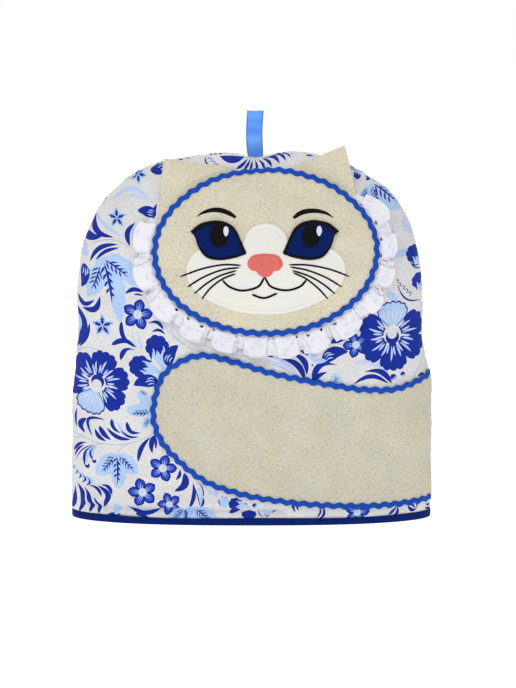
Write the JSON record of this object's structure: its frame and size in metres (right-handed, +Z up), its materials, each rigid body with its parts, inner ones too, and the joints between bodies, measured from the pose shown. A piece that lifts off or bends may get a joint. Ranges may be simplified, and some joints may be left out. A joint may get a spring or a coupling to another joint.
{
  "type": "tea cosy",
  "caption": "Padded cloth tea cosy with an arched top, a cat's head and tail sewn on its front, a lace frill, wavy braid, a bound hem and a ribbon loop on top.",
  "frame": {"origin": "on the surface that the hem rests on, under the middle of the cosy", "axes": "+Z up to the ribbon loop, -Y out of the front with the cat's head, +X to the right seen from the front"},
  "size_m": [0.3524, 0.1523, 0.3945],
  "materials": {
    "print_cloth": "natural cotton and linen cloth with a blue and white folk print",
    "linen": "plain unbleached linen with dark flecks",
    "white_cloth": "plain white cotton",
    "lace": "white cotton with worked eyelets",
    "blue_braid": "woven rickrack braid",
    "navy_binding": "plain woven bias binding",
    "ribbon": "satin ribbon",
    "navy_eye": "navy cotton with satin stitch",
    "coral_nose": "dense coral stitching"
  },
  "bodies": {
    "root": {"panel_front": "print_cloth", "panel_back": "print_cloth", "hem_binding": "navy_binding", "hang_loop": "ribbon", "head": "linen", "ear_left": "linen", "ear_right": "linen", "ruffle": "lace", "muzzle": "white_cloth", "eye_left": "navy_eye", "eye_right": "navy_eye", "nose": "coral_nose", "rickrack_face": "blue_braid", "tail": "linen", "rickrack_tail": "blue_braid"}
  },
  "joints": []
}
